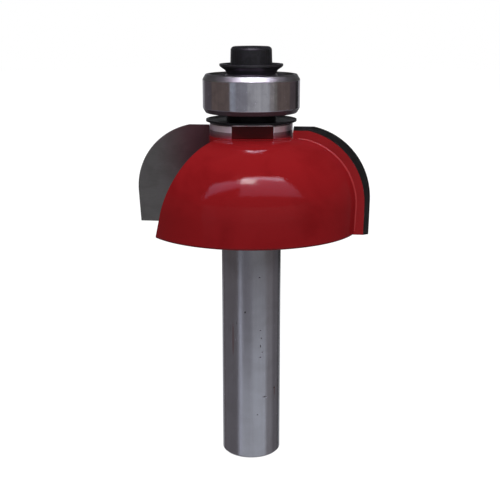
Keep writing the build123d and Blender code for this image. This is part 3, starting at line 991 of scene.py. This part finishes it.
def add_camera(studio):
    """The camera, level with the horizon apart from its pitch."""
    data = bpy.data.cameras.new("camera")
    data.sensor_width = 36.0
    data.lens = studio.camera_lens
    data.shift_x = studio.camera_shift
    data.clip_start = 1.0 * MM
    camera = bpy.data.objects.new("camera", data)
    bpy.context.scene.collection.objects.link(camera)
    toward = direction(studio.camera_azimuth, 0.0) * studio.camera_distance
    camera.location = (toward[0], toward[1], studio.camera_height)
    camera.rotation_euler = (math.pi / 2 - studio.camera_pitch, 0.0, studio.camera_azimuth)
    bpy.context.scene.camera = camera


def add_world(ambient, horizon):
    """Plain light from all round, weaker near the horizon; white where it is seen or mirrored."""
    world = bpy.data.worlds.new("studio_world")
    bpy.context.scene.world = world
    world.use_nodes = True
    tree = world.node_tree
    toward = add(tree, "ShaderNodeTexCoord").outputs["Generated"]
    height = add(tree, "ShaderNodeSeparateXYZ", {0: toward}).outputs["Z"]
    plain = ramp(tree, height, 0.0, 0.5, ambient * horizon, ambient)
    background = tree.nodes["Background"]
    background.inputs["Color"].default_value = (1.0, 1.0, 1.0, 1.0)
    strength = blend_value(tree, seen(tree), plain, 1.0)
    tree.links.new(strength, background.inputs["Strength"])


# ---------------------------------------------------------------- operators
def settings(context):
    """The bit's settings in the scene."""
    return context.scene.router_bit


class ROUTERBIT_OT_finish_body(bpy.types.Operator):
    """Enamel the dome and leave the shank and neck lands bare"""

    bl_idname = "routerbit.finish_body"
    bl_label = "Finish Body"

    def execute(self, context):
        chosen = settings(context)
        assign(body_material(chosen.sizes, chosen.finishes), "cutter_body")
        return {"FINISHED"}


class ROUTERBIT_OT_finish_tips(bpy.types.Operator):
    """Grind the carbide tips and paint their backs"""

    bl_idname = "routerbit.finish_tips"
    bl_label = "Finish Tips"

    def execute(self, context):
        chosen = settings(context)
        for node, side in zip(TIP_NODES, (1, -1)):
            assign(tip_material(f"{node}_finish", side, chosen.sizes, chosen.finishes), node)
        return {"FINISHED"}


class ROUTERBIT_OT_add_beads(bpy.types.Operator):
    """Lay the bead of paint in the corner behind each tip"""

    bl_idname = "routerbit.add_beads"
    bl_label = "Add Paint Beads"

    def execute(self, context):
        chosen = settings(context)
        material = bead_material(chosen.finishes)
        for count, side in enumerate((1, -1), start=1):
            bead = surface(f"paint_bead_{count}", bead_points(chosen.sizes, side))
            bead.data.materials.append(material)
            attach(bead, "cutter")
        return {"FINISHED"}


class ROUTERBIT_OT_finish_bearing(bpy.types.Operator):
    """Finish the bearing's rings, seals, cage and balls"""

    bl_idname = "routerbit.finish_bearing"
    bl_label = "Finish Bearing"

    def execute(self, context):
        chosen = settings(context)
        finishes = chosen.finishes
        assign(outer_ring_material(chosen.sizes, finishes), "bearing_outer_ring")
        assign(rubber_material(finishes), *SEAL_NODES)
        for name, roughness, nodes in (
            ("ground_inner_ring", finishes.inner_roughness, ["bearing_inner_ring"]),
            ("pressed_cage", finishes.cage_roughness, CAGE_NODES),
            ("polished_balls", finishes.ball_roughness, BALL_NODES),
        ):
            assign(bearing_material(finishes, name, roughness), *nodes)
        return {"FINISHED"}


class ROUTERBIT_OT_finish_clamp(bpy.types.Operator):
    """Blacken the two washers and the clamp screw"""

    bl_idname = "routerbit.finish_clamp"
    bl_label = "Finish Washers and Screw"

    def execute(self, context):
        chosen = settings(context).finishes
        for name, node, black, shine, knurl in (
            ("black_lower_washer", "dished_washer", chosen.black_lower, chosen.lower_shine, 0.0),
            ("black_cup", "cup_washer", chosen.black_oxide, chosen.cup_shine, 0.0),
            ("black_screw_finish", "clamp_screw", chosen.black_oxide, chosen.screw_shine, 0.6),
        ):
            assign(black_material(name, black, shine, chosen.black_roughness, knurl), node)
        return {"FINISHED"}


class ROUTERBIT_OT_build_studio(bpy.types.Operator):
    """Set the floor, the mirrored room, the lamps and the camera"""

    bl_idname = "routerbit.build_studio"
    bl_label = "Build Studio"

    def execute(self, context):
        studio = settings(context).studio
        azimuth = studio.camera_azimuth
        context.scene.view_settings.view_transform = "Standard"
        floor = surface("studio_floor", floor_points(studio.floor_radius))
        floor.data.materials.append(floor_material())
        floor.visible_glossy = False

        room = room_object("mirrored_room", studio.room_radius, azimuth)
        room.data.materials.append(room_material())
        only_mirrored(room)
        for count, (name, corners, low, high, soft) in enumerate(CARDS):
            away = studio.card_distance * (1.0 - CARD_STEP * count)
            card = card_object(name, corners, away, azimuth)
            card.data.materials.append(card_material(name, low, high, soft))
            only_mirrored(card)

        for name, around, lift, distance, size, power, mirrored in LAMPS:
            add_lamp(name, azimuth + math.radians(around), math.radians(lift), distance,
                     size, getattr(studio, power), mirrored)
        add_world(studio.ambient, studio.horizon_share)
        add_camera(studio)
        return {"FINISHED"}


class ROUTERBIT_PT_panel(bpy.types.Panel):
    """Lists the steps that dress the bit and build its studio."""

    bl_label = "Router Bit"
    bl_idname = "ROUTERBIT_PT_panel"
    bl_space_type = "VIEW_3D"
    bl_region_type = "UI"
    bl_category = "Router Bit"

    def draw(self, context):
        chosen = settings(context)
        for part in ("sizes", "finishes", "studio"):
            box = self.layout.box()
            box.label(text=part.title())
            properties = getattr(chosen, part)
            for key in properties.bl_rna.properties.keys():
                if key not in ("rna_type", "name"):
                    box.prop(properties, key)
        for operator in OPERATORS:
            self.layout.operator(operator.bl_idname)


GROUPS = (RouterBitSizes, RouterBitFinishes, RouterBitStudio, RouterBitSettings)
OPERATORS = (
    ROUTERBIT_OT_finish_body,
    ROUTERBIT_OT_finish_tips,
    ROUTERBIT_OT_add_beads,
    ROUTERBIT_OT_finish_bearing,
    ROUTERBIT_OT_finish_clamp,
    ROUTERBIT_OT_build_studio,
)


def register():
    """Registers the classes and the scene's settings."""
    for made in GROUPS + OPERATORS + (ROUTERBIT_PT_panel,):
        bpy.utils.register_class(made)
    bpy.types.Scene.router_bit = PointerProperty(type=RouterBitSettings)


def unregister():
    """Takes the scene's settings and the classes away again."""
    del bpy.types.Scene.router_bit
    for made in reversed(GROUPS + OPERATORS + (ROUTERBIT_PT_panel,)):
        bpy.utils.unregister_class(made)


def main():
    """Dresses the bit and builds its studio."""
    register()
    bpy.ops.routerbit.finish_body()
    bpy.ops.routerbit.finish_tips()
    bpy.ops.routerbit.add_beads()
    bpy.ops.routerbit.finish_bearing()
    bpy.ops.routerbit.finish_clamp()
    bpy.ops.routerbit.build_studio()


if __name__ == "__main__":
    main()
